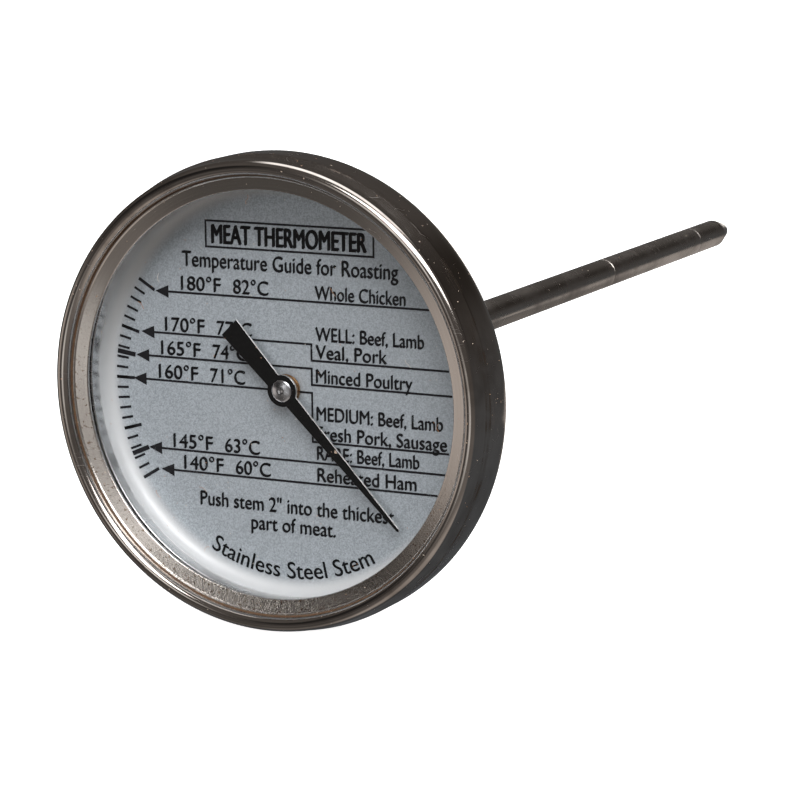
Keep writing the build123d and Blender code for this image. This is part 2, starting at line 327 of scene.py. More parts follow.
# %% Effect: scratches
def scratches():
    """Hairline scratches: noise squeezed thin along two slanting directions, cut off near its middle
    value so that only thin threads are left, and broken up by a coarser noise.
    """
    tree, given, out = effect(
        "scratches", {"Place": None, "Fineness": 900.0, "Amount": 0.5}, {"Mask": "Float"}
    )
    found = None
    for turn, seed in (((0.5, 0.3, 0.9), 0.0), ((-0.4, 0.8, -0.6), 3.0), ((0.1, -0.5, 2.0), 7.0)):
        spin = add(tree, "VectorRotate", given["Place"], rotation_type="EULER_XYZ")
        spin.inputs["Rotation"].default_value = turn
        thin = add(tree, "VectorMath", spin.outputs[0], (1.0, 0.035, 1.0), operation="MULTIPLY")
        threads = add(tree, "TexNoise", thin.outputs[0], seed, given["Fineness"], 0.0, noise_dimensions="4D")
        away = calc(tree, "ABSOLUTE", calc(tree, "SUBTRACT", threads.outputs[0], 0.5))
        line = step_up(tree, away, 0.0, 0.006, 1.0, 0.0)
        patch = add(tree, "TexNoise", given["Place"], seed + 1.0, 260.0, 1.0, noise_dimensions="4D")
        worn = step_up(tree, times(tree, given["Amount"], 0.3, patch.outputs[0]), 0.66, 0.74)
        line = times(tree, line, worn)
        found = line if found is None else calc(tree, "MAXIMUM", found, line)
    tree.links.new(found, out["Mask"])
    return tree


SCRATCHES = scratches()


# %% Effect: smudges
def smudges():
    """Finger marks and polishing haze: two soft noises of different sizes, folded into each other."""
    tree, given, out = effect("smudges", {"Place": None, "Size": 120.0}, {"Mask": "Float"})
    broad = add(tree, "TexNoise", given["Place"], None, given["Size"], 3.0, 0.55, None, 0.0, 0.6)
    fine = add(tree, "TexNoise", given["Place"], None, times(tree, given["Size"], 4.3), 2.0)
    folded = times(tree, step_up(tree, broad.outputs[0], 0.35, 0.7), fine.outputs[0])
    tree.links.new(times(tree, folded, 1.6, clamp=True), out["Mask"])
    return tree


SMUDGES = smudges()


# %% Effect: orange peel
def orange_peel():
    """The uneven skin of pressed sheet: fine noise over a coarser one, as a height."""
    tree, given, out = effect("orange_peel", {"Place": None, "Grain": 4000.0}, {"Height": "Float"})
    fine = add(tree, "TexNoise", given["Place"], None, given["Grain"], 2.0, 0.5).outputs[0]
    coarse = add(tree, "TexNoise", given["Place"], None, times(tree, given["Grain"], 0.22), 1.0)
    tree.links.new(calc(tree, "ADD", fine, coarse.outputs[0]), out["Height"])
    return tree


ORANGE_PEEL = orange_peel()


# %% Effect: dust
def dust():
    """Stray specks: each cell of a Voronoi pattern may hold one round speck, kept only where the
    cell's random number is high, and each with its own tint from rust brown to pale lint.
    """
    inputs = {"Place": None, "Cells": 1100.0, "Amount": 0.2, "Size": 0.16}
    tree, given, out = effect("dust", inputs, {"Mask": "Float", "Tint": "Color"})
    shaken = add(tree, "TexNoise", given["Place"], None, 2600.0, 1.0).outputs[1]
    by = (0.0004, 0.0004, 0.0004)
    moved = add(tree, "VectorMath", shaken, by, given["Place"], operation="MULTIPLY_ADD")
    cell = add(tree, "TexVoronoi", moved.outputs[0], None, given["Cells"]).outputs
    chance = add(tree, "SeparateColor", cell["Color"]).outputs
    edge = times(tree, given["Size"], calc(tree, "ADD", chance[1], 0.4))
    speck = step_up(tree, calc(tree, "SUBTRACT", edge, cell["Distance"]), 0.0, 0.05)
    kept = calc(tree, "GREATER_THAN", given["Amount"], chance[0])
    tree.links.new(times(tree, speck, kept), out["Mask"])
    tint = mix_colour(tree, chance[2], (0.30, 0.13, 0.045), (0.62, 0.52, 0.42))
    tree.links.new(tint, out["Tint"])
    return tree


DUST = dust()
print("effects:", [group.name for group in bpy.data.node_groups])

# %% [markdown]
# Every finish starts the same way: a new material, its Principled shader, and Object coordinates, so
# that a pattern stays with its piece when the dial turns. Bumps are added one on top of another.

# %% Helpers: start a finish, add a bump, lay dust over it
def wire(tree, shader, **sockets):
    """Fill a shader's sockets by name, as in Base_Color=colour."""
    for label, value in sockets.items():
        fill(tree, shader.inputs[label.replace("_", " ")], value)


def finish(name, metallic=0.0, roughness=0.5, **sockets):
    """A new material: its tree, its shader with plain values set, and the place on the piece."""
    made = bpy.data.materials.new(name)
    made.use_nodes = True
    tree = made.node_tree
    shader = tree.nodes["Principled BSDF"]
    shader.inputs["Metallic"].default_value = metallic
    shader.inputs["Roughness"].default_value = roughness
    wire(tree, shader, **sockets)
    return made, tree, shader, tree.nodes.new("ShaderNodeTexCoord").outputs["Object"]


def bump(tree, height, distance, below=None):
    """A Bump node: height 1 stands this many metres proud. below is the bump under it."""
    node = tree.nodes.new("ShaderNodeBump")
    wire(tree, node, Distance=distance, Height=height, Normal=below)
    return node.outputs["Normal"]


def wear(tree, shader, colour, rough, normal, place, amount, metallic=None, cells=2400.0, size=0.15):
    """Lay dust over a finish: specks take over its colour, are rougher and, on metal, aren't metal."""
    specks = use(tree, DUST, Place=place, Amount=amount, Cells=cells, Size=size)
    mask = specks["Mask"]
    wire(tree, shader, Base_Color=mix_colour(tree, mask, colour, specks["Tint"]))
    wire(tree, shader, Roughness=calc(tree, "MAXIMUM", rough, times(tree, mask, 0.8)))
    if metallic is not None:
        wire(tree, shader, Metallic=times(tree, calc(tree, "SUBTRACT", 1.0, mask), metallic))
    wire(tree, shader, Normal=bump(tree, mask, 0.00002, below=normal))


print("finish helpers ready")


# %% Finish: drawn and polished case steel
def steel_finish(name, dark, light, rough, lines, line_height, drift, scratch, dirt, painted_shade_y=None):
    """Turned or polished steel: spun lines in the height and the gloss, smudges, hairlines and dust.

    The last argument is the depth in metres of a painted shade: a brown band that darkens the crease
    where the bead meets the case wall. Its strength falls off with the distance from that depth, and the
    spun lines break it up.
    """
    made, tree, shader, place = finish(name, metallic=1.0)
    spun = use(tree, SPUN_LINES, Place=place, Lines=lines, Drift=drift)["Height"]
    marks = use(tree, SCRATCHES, Place=place, Amount=scratch)["Mask"]
    haze = use(tree, SMUDGES, Place=place)["Mask"]
    colour = mix_colour(tree, haze, light, dark)
    colour = mix_colour(tree, times(tree, spun, 0.18), colour, dark)
    gloss = times(tree, haze, rough * 0.8, rough * 0.75)
    gloss = times(tree, marks, 0.18, gloss)
    if painted_shade_y is not None:
        # Painted shade: a brown band darkens the crease behind the bead, standing in for the dark room it
        # mirrors there.
        depth = add(tree, "SeparateXYZ", place).outputs[1]
        away = calc(tree, "ABSOLUTE", calc(tree, "SUBTRACT", depth, painted_shade_y))
        painted_shade = times(tree, step_up(tree, away, 0.0, 0.0016, 1.0, 0.0), step_up(tree, spun, 0.42, 0.62))
        broken = noise(tree, place, 300.0, 3.0, 0.6)
        painted_shade = times(tree, painted_shade, step_up(tree, broken, 0.42, 0.62))
        colour = mix_colour(tree, times(tree, painted_shade, 0.8), colour, (0.22, 0.14, 0.085))
        gloss = times(tree, painted_shade, 0.25, gloss)
    normal = bump(tree, spun, line_height)
    normal = bump(tree, marks, -1.2e-6, below=normal)
    wear(tree, shader, colour, gloss, normal, place, metallic=1.0, amount=dirt)
    return made


# The depth of the painted shade in the crease behind the bead, in metres.
PAINTED_SHADE_Y = (EDGE_Y + 0.9) * MM
# dark and light colour, roughness, lines per metre, their height, drift, scratches, dust, painted crease
# shade
steels = {
    "case_steel": ((0.36, 0.32, 0.29), (0.62, 0.57, 0.53), 0.13, 5200.0, 1.0e-6, 1.6, 0.2, 0.13, PAINTED_SHADE_Y),
    "stem_steel": ((0.40, 0.36, 0.33), (0.60, 0.56, 0.52), 0.24, 9000.0, 1.4e-6, 1.2, 0.2, 0.10),
    "nut_steel": ((0.42, 0.40, 0.38), (0.66, 0.64, 0.62), 0.24, 7000.0, 1.6e-6, 0.8, 0.5, 0.05),
    "spring_steel": ((0.34, 0.33, 0.32), (0.58, 0.57, 0.56), 0.22, 4000.0, 1.0e-6, 2.0, 0.5, 0.05),
    "ring_steel": ((0.55, 0.54, 0.53), (0.78, 0.77, 0.76), 0.32, 6000.0, 1.2e-6, 2.0, 0.3, 0.05),
    "bush_brass": ((0.30, 0.15, 0.06), (0.66, 0.40, 0.20), 0.22, 14000.0, 3.0e-6, 0.6, 0.3, 0.03),
    "cap_metal": ((0.60, 0.60, 0.61), (0.84, 0.84, 0.85), 0.20, 16000.0, 1.2e-6, 0.8, 0.4, 0.03),
}
CASE_STEEL, STEM_STEEL, NUT_STEEL, SPRING_STEEL, RING_STEEL, BRASS, CAP_METAL = (
    steel_finish(name, *settings) for name, settings in steels.items()
)
print("steels:", [m.name for m in bpy.data.materials])


# %% [markdown]
# The bezel's flange is pressed from the same steel, but its skin is uneven: smooth and warm at the
# top and right, grainy with tiny sparkles round the bottom and left, where it was handled most. The
# height on the dial decides how strong the orange peel is, and brown dirt has settled in its pits.

# %% Finish: mottled bezel steel
def bezel_finish():
    """Orange peel whose strength is a smooth step of the height on the dial, and pits of brown dirt."""
    made, tree, shader, place = finish("bezel_steel", metallic=1.0)
    where = add(tree, "SeparateXYZ", place).outputs
    lean = times(tree, where[0], 0.35, where[2])
    drift = noise(tree, place, 90.0, 2.0)
    lean = times(tree, calc(tree, "SUBTRACT", drift, 0.5), 0.012, lean)
    handled = step_up(tree, lean, 0.006, -0.012)
    peel = use(tree, ORANGE_PEEL, Place=place, Grain=6200.0)["Height"]
    spun = use(tree, SPUN_LINES, Place=place, Lines=5200.0, Drift=2.0)["Height"]
    marks = use(tree, SCRATCHES, Place=place, Amount=0.15)["Mask"]
    pits = noise(tree, place, 3000.0, 2.0, 0.6)
    pitted = times(tree, step_up(tree, pits, 0.60, 0.68), handled)
    colour = mix_colour(tree, spun, (0.72, 0.68, 0.64), (0.60, 0.55, 0.51))
    colour = mix_colour(tree, times(tree, pitted, 0.7), colour, (0.24, 0.14, 0.07))
    gloss = times(tree, handled, 0.12, 0.15)
    gloss = times(tree, marks, 0.15, gloss)
    frosted = step_up(tree, times(tree, drift, 0.004, where[2]), -0.0125, -0.0205)
    depth = times(tree, frosted, 2.0, times(tree, handled, 0.40, 0.05))
    normal = bump(tree, times(tree, peel, depth), 0.00002)
    normal = bump(tree, spun, 1.2e-6, below=normal)
    wear(tree, shader, colour, gloss, normal, place, metallic=1.0, amount=0.10, cells=2800.0)
    return made


BEZEL_STEEL = bezel_finish()

# %% [markdown]
# The dial is sheet metal under a thin coat of silver-grey enamel. The coat has very fine metal flakes
# in it, so it is a little brighter and darker from grain to grain, and its gloss is low. The print is
# a thick matt ink, and the pointer is painted with a slightly rough black that its cut edge shows
# through.

# %% Finishes: dial enamel, ink, pointer paint
def enamel_finish():
    """Silver-grey enamel: fine flakes in the colour, a soft brushed drift, and an eggshell bump. Towards
    the rim, by the distance from the axis, the colour is painted paler: painted light on the pan's wall.
    """
    made, tree, shader, place = finish("dial_enamel", metallic=0.2)
    flakes = noise(tree, place, 6500.0, 1.0, 0.7)
    cloud = use(tree, SMUDGES, Place=place, Size=70.0)["Mask"]
    colour = mix_colour(tree, step_up(tree, flakes, 0.3, 0.7), (0.33, 0.36, 0.385), (0.525, 0.57, 0.60))
    colour = mix_colour(tree, times(tree, cloud, 0.25), colour, (0.42, 0.45, 0.47))
    # Painted light: the pan's bend and wall are painted paler, for the light from above that falls on them.
    painted_light_rim = step_up(tree, from_axis(tree, place), 0.0198, 0.0213)
    colour = mix_colour(tree, times(tree, painted_light_rim, 0.95), colour, (0.66, 0.665, 0.66))
    gloss = times(tree, flakes, 0.14, 0.40)
    normal = bump(tree, flakes, 0.000004)
    wear(tree, shader, colour, gloss, normal, place, amount=0.02, cells=900.0, size=0.10)
    return made


def ink_finish(name, dark, light, rough):
    """Matt black: a faint mottle in the colour, a rough gloss and a fine bump."""
    made, tree, shader, place = finish(name, Specular_IOR_Level=0.25)
    grain = noise(tree, place, 9000.0, 2.0, 0.6)
    colour = mix_colour(tree, grain, dark, light)
    gloss = times(tree, grain, 0.2, rough)
    wear(tree, shader, colour, gloss, bump(tree, grain, 0.000004), place, amount=0.02)
    return made


def paint_finish():
    """Pointer paint, worn to bare metal where the mesh's bare_edge value is 1."""
    made, tree, shader, place = finish("pointer_paint", Specular_IOR_Level=0.1)
    grain = noise(tree, place, 5200.0, 2.0, 0.6)
    edge = add(tree, "Attribute", attribute_name="bare_edge", attribute_type="GEOMETRY").outputs["Fac"]
    edge = step_up(tree, times(tree, grain, 0.3, edge), 0.55, 0.75)
    colour = mix_colour(tree, grain, (0.002, 0.002, 0.002), (0.006, 0.006, 0.006))
    colour = mix_colour(tree, edge, colour, (0.75, 0.73, 0.70))
    wire(tree, shader, Metallic=edge)
    specks = use(tree, DUST, Place=place, Amount=0.05)
    colour = mix_colour(tree, specks["Mask"], colour, specks["Tint"])
    wire(tree, shader, Base_Color=colour)
    gloss = calc(tree, "SUBTRACT", times(tree, grain, 0.25, 0.45), times(tree, edge, 0.25))
    wire(tree, shader, Roughness=gloss)
    wire(tree, shader, Normal=bump(tree, grain, 0.000008))
    return made


ENAMEL = enamel_finish()
INK = ink_finish("dial_ink", (0.004, 0.004, 0.005), (0.011, 0.011, 0.014), 0.5)
GASKET_RUBBER = ink_finish("gasket_rubber", (0.08, 0.078, 0.074), (0.16, 0.155, 0.148), 0.55)
PAINT = paint_finish()


# %% [markdown]
# Glass is almost nothing but reflection. Light that only has to reach the dial goes straight through
# as if the glass were clear, which keeps the dial evenly lit. The bimetal coil is sealed in the stem,
# and its ribbon shows the two metals it is rolled from.

# %% Finishes: window glass and bimetal ribbon
def glass_finish():
    """Clear glass with a few hairlines, for rays from the camera. Light and the dial's own bounces
    pass through a Transparent shader instead, so that no light is counted twice.
    """
    made, tree, shader, place = finish(
        "window_glass", roughness=0.0, Base_Color=(0.985, 0.985, 0.99), Transmission_Weight=1.0, IOR=1.5
    )
    marks = use(tree, SCRATCHES, Place=place, Amount=0.35, Fineness=700.0)["Mask"]
    haze = use(tree, SMUDGES, Place=place, Size=60.0)["Mask"]
    wire(tree, shader, Roughness=times(tree, marks, 0.12))
    wire(tree, shader, Normal=bump(tree, times(tree, haze, 0.05, marks), -0.6e-6))
    clear = add(tree, "BsdfTransparent", (0.96, 0.965, 0.975)).outputs[0]
    path = tree.nodes.new("ShaderNodeLightPath").outputs
    looking = calc(tree, "MAXIMUM", path["Is Camera Ray"], path["Is Transmission Ray"])
    both = add(tree, "MixShader", looking, clear, shader.outputs[0]).outputs[0]
    tree.links.new(both, tree.nodes["Material Output"].inputs["Surface"])
    return made


COIL_MIDDLE_R = 0.96 * MM


def bimetal_finish():
    """Rolled ribbon: grey on one face, yellower on the other, with fine lines along it."""
    made, tree, shader, place = finish("bimetal", metallic=1.0, roughness=0.3)
    outer = calc(tree, "GREATER_THAN", from_axis(tree, place), COIL_MIDDLE_R)
    lines = use(tree, SPUN_LINES, Place=place, Lines=12000.0, Drift=0.5)["Height"]
    colour = mix_colour(tree, outer, (0.66, 0.55, 0.38), (0.60, 0.58, 0.56))
    colour = mix_colour(tree, times(tree, lines, 0.4), colour, (0.36, 0.32, 0.28))
    gloss = times(tree, lines, 0.2, 0.22)
    wear(tree, shader, colour, gloss, bump(tree, lines, 0.000002), place, metallic=1.0, amount=0.02)
    return made


GLASS = glass_finish()
BIMETAL = bimetal_finish()
print("finishes:", len(bpy.data.materials))


# %% [markdown]
# The case is one drawn cup: a flat back with a raised boss round its hole, a rounded corner, and a
# mouth that tapers in and curls over into a bead. Its section is a closed outline, so `loop` starts
# halfway along the last edge and comes back to it, which gives every corner its arc.

# %% The case
def loop(points, radii, step, bend=8):
    """A closed outline with an arc at every corner, begun halfway along its last edge."""
    start = [(points[0][k] + points[-1][k]) / 2 for k in (0, 1)]
    return rounded([start, *points, start], radii, step, bend)[:-1]


SHEET = 0.48
BACK_Y = BOSS_Y - 0.8
HOLE_R = 3.05
BEAD_R = 0.75
BEAD_IN_R = 22.95
BEAD_OUT_R = BEAD_IN_R + 2 * BEAD_R
LEG_Y = EDGE_Y - 0.54
TAPER_Y = EDGE_Y + 1.2
BACK_CORNER = 2.5

case_outline = loop(
    [
        (HOLE_R, BOSS_Y),
        (8.6, BOSS_Y),
        (9.6, BACK_Y),
        (CASE_R, BACK_Y),
        (CASE_R, TAPER_Y),
        (BEAD_OUT_R, BEAD_FRONT + BEAD_R),
        (BEAD_OUT_R, BEAD_FRONT),
        (BEAD_IN_R, BEAD_FRONT),
        (BEAD_IN_R, LEG_Y),
        (BEAD_IN_R + SHEET, LEG_Y),
        (BEAD_IN_R + SHEET, BEAD_FRONT + SHEET),
        (BEAD_OUT_R - SHEET, BEAD_FRONT + SHEET),
        (BEAD_OUT_R - SHEET, BEAD_FRONT + BEAD_R),
        (CASE_R - SHEET, TAPER_Y),
        (CASE_R - SHEET, BACK_Y - SHEET),
        (9.6, BACK_Y - SHEET),
        (8.6, BOSS_Y - SHEET),
        (HOLE_R, BOSS_Y - SHEET),
    ],
    [0.08, 0.5, 0.5, BACK_CORNER, 1.2, 0, BEAD_R, BEAD_R, 0.06]
    + [0.06, 0.27, 0.27, 0, 0.5, BACK_CORNER - SHEET, 0.2, 0.2, 0.05],
    step=0.8,
    bend=10,
)
place(turned("case_shell", case_outline), "head", "case_steel", CASE_STEEL, "case_cup")

# %% [markdown]
# The bezel's flange rises a little from the window to a fold, and ends in a small raised lip against
# the bead. The lip is what draws the thin bright line just inside the bead.

# %% The bezel
WINDOW_R = 21.28
FOLD_R = 22.62
LIP_Y = EDGE_Y - 0.52
SKIRT_R = 24.3

bezel_outline = loop(
    [
        (WINDOW_R, EDGE_Y),
        (FOLD_R, EDGE_Y - 0.37),
        (22.74, LIP_Y),
        (23.05, LIP_Y),
        (23.25, EDGE_Y - 0.3),
        (23.92, EDGE_Y - 0.3),
        (SKIRT_R, TAPER_Y),
        (SKIRT_R, EDGE_Y + 3.2),
        (SKIRT_R - 0.4, EDGE_Y + 3.2),
        (SKIRT_R - 0.6, EDGE_Y + 0.35),
        (WINDOW_R, EDGE_Y + 0.35),
    ],
    [0.2, 0.1, 0.1, 0.1, 0.05, 0.05, 0.3, 0.1, 0.1, 0.1, 0.12],
    step=0.25,
    bend=8,
)
place(turned("bezel_flange", bezel_outline), "head", "bezel_steel", BEZEL_STEEL, "bezel_ring")

# %% [markdown]
# Behind the bezel come the window, the ring that holds it off the dial, and the dial. The dial is a
# shallow pan: flat in the middle, then a soft bend into a low wall and an outward rim.

# %% The window, the spacer and the dial pan
GROUND_EDGE = 0.12
lens_corners = [(0, LENS_FRONT), (STACK_R, LENS_FRONT), (STACK_R, LENS_BACK), (0, LENS_BACK)]
lens_outline = rounded(lens_corners, [GROUND_EDGE, GROUND_EDGE], step=2.0)
place(turned("window", lens_outline, 240), "head", "window_glass", GLASS, "lens")

SPACER_BORE_R = 21.65
spacer_outline = loop(
    [(SPACER_BORE_R, SPACER_FRONT), (STACK_R, SPACER_FRONT), (STACK_R, RIM_Y), (SPACER_BORE_R, RIM_Y)],
    [0.15, 0.05, 0.05, 0.1],
    step=0.5,
)
place(turned("window_spacer", spacer_outline), "head", "ring_steel", RING_STEEL, "spacer_ring")

WALL_R = 21.75
DIAL_HOLE_R = 1.2
PAN_BEND = 1.25
pan_outline = loop(
    [
        (DIAL_HOLE_R, DIAL_Y),
        (WALL_R, DIAL_Y),
        (WALL_R, RIM_Y),
        (STACK_R, RIM_Y),
        (STACK_R, RIM_Y + DIAL_SHEET),
        (WALL_R + DIAL_SHEET, RIM_Y + DIAL_SHEET),
        (WALL_R + DIAL_SHEET, DIAL_Y + DIAL_SHEET),
        (DIAL_HOLE_R, DIAL_Y + DIAL_SHEET),
    ],
    [0.05, PAN_BEND, 0.12, 0.05, 0.05, 0.05, PAN_BEND + DIAL_SHEET, 0.05],
    step=1.5,
    bend=14,
)
place(turned("dial_pan", pan_outline), "head", "dial_face", ENAMEL, "dial_plate")

# %% [markdown]
# The print is real ink with a thickness, lying on the dial. Everything drawn is a band: a line of
# points with a width at each. A tick is a short band, an arrowhead is a band that widens, and a
# leader is a band with two corners. Each band becomes a flat closed solid.

# %% Helpers: bands of ink
INK_THICK, INK_SUNK = 0.02, 0.01


def on_dial(flat, thickness=INK_THICK, behind=0.0):
    """Points (x, z) on the dial's plane, raised by thickness towards the reader: (x, y, z)."""
    y = np.full(len(flat), DIAL_Y + behind - thickness)
    return np.column_stack([flat[:, 0], y, flat[:, 1]])


def band(points, widths, closed=False):
    """The (verts, faces) of a band of ink along a line on the dial.

    At each point the edge lies half a width to each side along the mean of the two neighbouring
    sides, divided by the cosine of half the turn, so that corners are mitred.
    """
    line = np.array(points, float)
    half = np.broadcast_to(np.asarray(widths, float) / 2, len(line))
    ahead = np.roll(line, -1, axis=0) - line
    ahead /= np.linalg.norm(ahead, axis=1)[:, None]
    if not closed:
        ahead[-1] = ahead[-2]
    behind = np.roll(ahead, 1, axis=0)
    if not closed:
        behind[0] = ahead[0]
    side = np.column_stack([-ahead[:, 1] - behind[:, 1], ahead[:, 0] + behind[:, 0]])
    side /= np.linalg.norm(side, axis=1)[:, None]
    cosine = np.abs(side[:, 0] * -ahead[:, 1] + side[:, 1] * ahead[:, 0])
    shift = side * (half / cosine)[:, None]
    edges = np.vstack([line + shift, line - shift])
    count = len(line)
    verts = np.vstack([on_dial(edges), on_dial(edges, 0, INK_SUNK)])
    i = np.arange(count if closed else count - 1)
    j = (i + 1) % count
    under = 2 * count
    quads = [
        np.column_stack([i, count + i, count + j, j]),
        np.column_stack([under + i, under + j, under + count + j, under + count + i]),
        np.column_stack([i, j, under + j, under + i]),
        np.column_stack([count + i, under + count + i, under + count + j, count + j]),
    ]
    if not closed:
        last = count - 1
        quads.append([[0, under, under + count, count]])
        quads.append([[last, count + last, under + count + last, under + last]])
    return verts, np.vstack(quads)


def printed(name, shapes, slot="pointer_black", material=INK):
    """One piece from many (verts, faces) solids: ink unless another finish is given."""
    start, verts, faces = 0, [], []
    for shape_verts, shape_faces in shapes:
        verts.append(shape_verts)
        faces.extend([[int(v) + start for v in face] for face in shape_faces])
        start += len(shape_verts)
    mesh = bpy.data.meshes.new(name)
    mesh.from_pydata((np.vstack(verts) * MM).tolist(), [], faces)
    mesh.update()
    piece = in_scene(name, mesh)
    shell = bmesh.new()
    shell.from_mesh(mesh)
    bmesh.ops.remove_doubles(shell, verts=shell.verts, dist=1e-7)
    bmesh.ops.recalc_face_normals(shell, faces=shell.faces)
    shell.to_mesh(mesh)
    shell.free()
    return place(piece, "head", slot, material)


# %% [markdown]
# The temperature scale runs down the left side. 160 degrees Fahrenheit points straight left, and a
# degree is about a degree and a half of arc, so an angle follows from each temperature. Six doneness
# temperatures get a longer tick, an arrow and a line across to their words.

# %% The scale
ARC_PER_DEGREE = 1.573
SCALE_CENTRE_Z = -0.2


def scale_angle(fahrenheit):
    """The angle of a temperature on the dial, counter-clockwise from the right, in radians."""
    return math.radians(180 - (fahrenheit - 160) * ARC_PER_DEGREE)


def tick(fahrenheit, inner, outer, width):
    """A radial stroke at a temperature."""
    angle = scale_angle(fahrenheit)
    ends = [(r * math.cos(angle), SCALE_CENTRE_Z + r * math.sin(angle)) for r in (inner, outer)]
    return band(ends, width)


ticks = [tick(degree, 19.2, 20.6, 0.26) for degree in range(142, 180, 2)]
ticks += [tick(degree, 18.4, 20.6, 0.34) for degree in (140, 150, 160, 170, 180)]
ticks += [tick(degree, 18.4, 20.6, 0.5) for degree in (145, 165)]
printed("dial_scale", ticks)

# %% The leaders and their arrowheads
DROP_X = 2.9
ARROW_LENGTH, ARROW_WIDTH = 1.55, 1.35

leaders = {
    180: [(-15.55, 9.35), (16.45, 9.35)],
    170: [(-17.4, 4.9), (DROP_X, 4.9), (DROP_X, 3.2), (18.6, 3.2)],
    165: [(-18.1, 2.35), (DROP_X, 2.35), (DROP_X, 0.65), (18.95, 0.65)],
    160: [(-18.5, -0.2), (DROP_X, -0.2), (DROP_X, -5.35), (18.55, -5.35)],
    145: [(-16.8, -7.55), (18.1, -7.55)],
    140: [(-15.35, -9.8), (17.2, -9.8)],
}
drawn = []
for (tip_x, tip_z), *rest in leaders.values():
    drawn.append(band([(tip_x, tip_z), (tip_x + ARROW_LENGTH, tip_z)], [0.04, ARROW_WIDTH]))
    drawn.append(band([(tip_x + ARROW_LENGTH, tip_z), *rest], 0.23))
printed("dial_leaders", drawn)

# %% [markdown]
# Letters are Blender's own font, made into a mesh. Each text is then scaled to its place on the dial:
# its capitals to a height, its length to a width. The words are plain kitchen words.

# %% Helpers: words of ink
def letters(text):
    """The (verts, faces) of a text: a solid from the built-in font, x and y in units of its capitals."""
    curve = bpy.data.curves.new("letters", "FONT")
    curve.body = text
    curve.extrude = 0.5
    curve.resolution_u = 4
    holder = in_scene("letters", curve)
    evaluated = holder.evaluated_get(bpy.context.evaluated_depsgraph_get())
    mesh = bpy.data.meshes.new_from_object(evaluated)
    verts = np.zeros(len(mesh.vertices) * 3)
    mesh.vertices.foreach_get("co", verts)
    faces = [list(face.vertices) for face in mesh.polygons]
    bpy.data.objects.remove(holder)
    bpy.data.curves.remove(curve)
    bpy.data.meshes.remove(mesh)
    return verts.reshape(-1, 3), faces


CAPITAL = np.ptp(letters("H")[0][:, 1])


def letter_y(depth):
    """Letters run from -0.5 at their back, a little below the dial's surface, to 0.5 in front."""
    return DIAL_Y + INK_SUNK - (depth + 0.5) * (INK_THICK + INK_SUNK)


def words(text, left, base, width, height, bold=0.045):
    """A text on the dial from its left end and base line, width long, with capitals height high.
    Two copies a little apart, up and to the side, make the strokes as bold as printed ones.
    """
    verts, faces = letters(text)
    x = (verts[:, 0] - verts[:, 0].min()) / np.ptp(verts[:, 0]) * width + left
    z = verts[:, 1] / CAPITAL * height + base
    flat = np.column_stack([x, letter_y(verts[:, 2]), z])
    shift = np.array([bold, 0, bold])
    again = [tuple(corner + len(flat) for corner in face) for face in faces]
    return np.vstack([flat - shift, flat + shift]), faces + again


print(f"capital height {CAPITAL:.3f} in font units")

# %% The figures
FIGURE_HEIGHT = 1.45
CELSIUS_START = 6.26
FAHRENHEIT_WIDTH, CELSIUS_WIDTH = 4.76, 4.13

figures = {
    180: (82, -12.45, 9.65),
    170: (77, -14.5, 5.15),
    165: (74, -15.05, 2.6),
    160: (71, -15.4, 0.05),
    145: (63, -13.8, -7.3),
    140: (60, -12.55, -9.55),
}
drawn = []
for fahrenheit, (celsius, left, base) in figures.items():
    drawn.append(words(f"{fahrenheit}°F", left, base, FAHRENHEIT_WIDTH, FIGURE_HEIGHT))
    drawn.append(words(f"{celsius}°C", left + CELSIUS_START, base, CELSIUS_WIDTH, FIGURE_HEIGHT))
printed("dial_figures", drawn)

# %% The words, the heading and the notes
COLUMN_X = 3.4
guide = {
    9.6: ("Whole Chicken", 13.75),
    5.3: ("WELL: Beef, Lamb", 15.8),
    3.45: ("Veal, Pork", 11.6),
    0.9: ("Minced Poultry", 14.45),
    -3.05: ("MEDIUM: Beef, Lamb", 17.85),
    -5.1: ("Fresh Pork, Sausage", 18.3),
    -7.2: ("RARE: Beef, Lamb", 15.15),
    -9.5: ("Reheated Ham", 14.8),
}
drawn = [words(text, COLUMN_X, base, end - COLUMN_X, 1.42) for base, (text, end) in guide.items()]
printed("dial_guide", drawn)

plaque = [(-9.35, 14.4), (10.2, 14.4), (10.2, 17.15), (-9.35, 17.15)]
drawn = [
    band(plaque, 0.22, closed=True),
    *[words("MEAT THERMOMETER", left, 14.8, 18.0, 1.95, 0.05) for left in (-8.67, -8.57)],
    words("Temperature Guide for Roasting", -12.25, 12.2, 25.2, 1.6),
]
printed("dial_heading", drawn)


def bent_words(text, radius, start, end, height):
    """Words along the bottom of the dial, upright: x becomes an angle, z the depth into the circle."""
    verts, faces = letters(text)
    share = (verts[:, 0] - verts[:, 0].min()) / np.ptp(verts[:, 0])
    angle = np.radians(start + share * (end - start))
    r = radius - verts[:, 1] / CAPITAL * height
    return np.column_stack([r * np.cos(angle), letter_y(verts[:, 2]), r * np.sin(angle)]), faces


drawn = [
    words('Push stem 2" into the thickest', -10.65, -13.25, 22.85, 1.5),
    words("part of meat.", -4.55, -15.3, 9.95, 1.5),
    bent_words("Stainless Steel Stem", 20.2, 242, 299.5, 1.75),
    bent_words("Stainless Steel Stem", 20.24, 242.2, 299.7, 1.75),
]
printed("dial_notes", drawn)

# %% [markdown]
# The pointer is blanked from thin sheet: a long arm, a round hub and a tail that widens to a square
# end. It is a grid of stations along its length and points round its section. The half width at a
# station is the largest of the arm's, the hub's and the tail's, and the section has a small bevel,
# where the cut edge has lost its paint and catches the light.

# %% The pointer
POINTER_DEG = -45.7
ARM_TIP, TAIL_END = 19.1, -8.75
NECK_HALF, TAIL_HALF, HUB_R = 0.8, 1.225, 1.68
BEVEL = 0.02
TIP_HALF = 0.17


